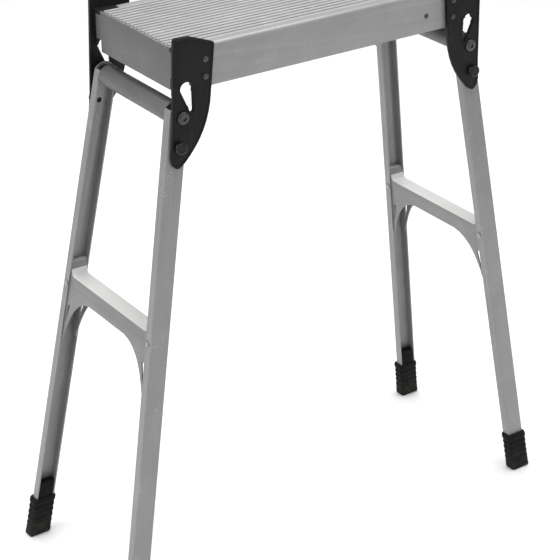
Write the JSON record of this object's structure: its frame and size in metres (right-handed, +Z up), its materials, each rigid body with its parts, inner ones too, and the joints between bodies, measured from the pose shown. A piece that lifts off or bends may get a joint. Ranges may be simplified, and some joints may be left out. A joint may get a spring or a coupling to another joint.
{
  "type": "folding work platform",
  "caption": "Long narrow work platform on four splayed channel legs that fold in pairs under a ribbed deck, with black corner brackets and rubber feet.",
  "frame": {"origin": "on the floor under the middle of the deck", "axes": "+X along the deck to the right leg frame, +Y from the front rail to the back rail, +Z up"},
  "size_m": [0.7778, 0.3102, 0.858],
  "materials": {
    "deck": "satin, ribbed, light grey",
    "rail": "satin light grey",
    "panel": "satin mid grey",
    "leg": "satin light grey",
    "rung": "bright satin",
    "bracket": "black, semi-matt",
    "button": "black, smooth",
    "rubber": "black, dull",
    "fastener": "zinc plated"
  },
  "bodies": {
    "platform": {"deck_panel": "deck", "front_rail": "rail", "back_rail": "rail", "left_end_panel": "panel", "left_deck_brace": "rail", "front_left_bracket": "bracket", "front_left_bracket_rivet_1": "fastener", "front_left_bracket_rivet_2": "fastener", "front_left_button_spring": "fastener", "back_left_bracket": "bracket", "back_left_bracket_rivet_1": "fastener", "back_left_bracket_rivet_2": "fastener", "back_left_button_spring": "fastener", "right_end_panel": "panel", "right_deck_brace": "rail", "front_right_bracket": "bracket", "front_right_bracket_rivet_1": "fastener", "front_right_bracket_rivet_2": "fastener", "front_right_button_spring": "fastener", "back_right_bracket": "bracket", "back_right_bracket_rivet_1": "fastener", "back_right_bracket_rivet_2": "fastener", "back_right_button_spring": "fastener"},
    "left_leg_frame": {"left_crossbar": "panel", "left_rung": "rung", "front_left_leg": "leg", "front_left_head_bush": "bracket", "front_left_pivot_bolt": "fastener", "front_left_foot": "rubber", "front_left_rung_rivet_outer": "fastener", "front_left_rung_rivet_inner": "fastener", "back_left_leg": "leg", "back_left_head_bush": "bracket", "back_left_pivot_bolt": "fastener", "back_left_foot": "rubber", "back_left_rung_rivet_outer": "fastener", "back_left_rung_rivet_inner": "fastener"},
    "right_leg_frame": {"right_crossbar": "panel", "right_rung": "rung", "front_right_leg": "leg", "front_right_head_bush": "bracket", "front_right_pivot_bolt": "fastener", "front_right_foot": "rubber", "front_right_rung_rivet_outer": "fastener", "front_right_rung_rivet_inner": "fastener", "back_right_leg": "leg", "back_right_head_bush": "bracket", "back_right_pivot_bolt": "fastener", "back_right_foot": "rubber", "back_right_rung_rivet_outer": "fastener", "back_right_rung_rivet_inner": "fastener"},
    "front_left_button": {"front_left_release_button": "button"},
    "back_left_button": {"back_left_release_button": "button"},
    "front_right_button": {"front_right_release_button": "button"},
    "back_right_button": {"back_right_release_button": "button"}
  },
  "joints": [
    {"name": "left_leg_fold", "type": "hinge", "parent": "platform", "child": "left_leg_frame", "pos_m": [-0.24596, 0, 0.748], "axis": [0, -1, 0], "range_deg": [0, 99]},
    {"name": "right_leg_fold", "type": "hinge", "parent": "platform", "child": "right_leg_frame", "pos_m": [0.24596, 0, 0.748], "axis": [0, 1, 0], "range_deg": [0, 80]},
    {"name": "front_left_button_press", "type": "slide", "parent": "platform", "child": "front_left_button", "axis": [0, 1, 0], "range_m": [0, 0.003], "stiffness_N_per_m": 600, "springref_m": -0.003, "deforming": ["front_left_button_spring"]},
    {"name": "back_left_button_press", "type": "slide", "parent": "platform", "child": "back_left_button", "axis": [0, -1, 0], "range_m": [0, 0.003], "stiffness_N_per_m": 600, "springref_m": -0.003, "deforming": ["back_left_button_spring"]},
    {"name": "front_right_button_press", "type": "slide", "parent": "platform", "child": "front_right_button", "axis": [0, 1, 0], "range_m": [0, 0.003], "stiffness_N_per_m": 600, "springref_m": -0.003, "deforming": ["front_right_button_spring"]},
    {"name": "back_right_button_press", "type": "slide", "parent": "platform", "child": "back_right_button", "axis": [0, -1, 0], "range_m": [0, 0.003], "stiffness_N_per_m": 600, "springref_m": -0.003, "deforming": ["back_right_button_spring"]}
  ]
}
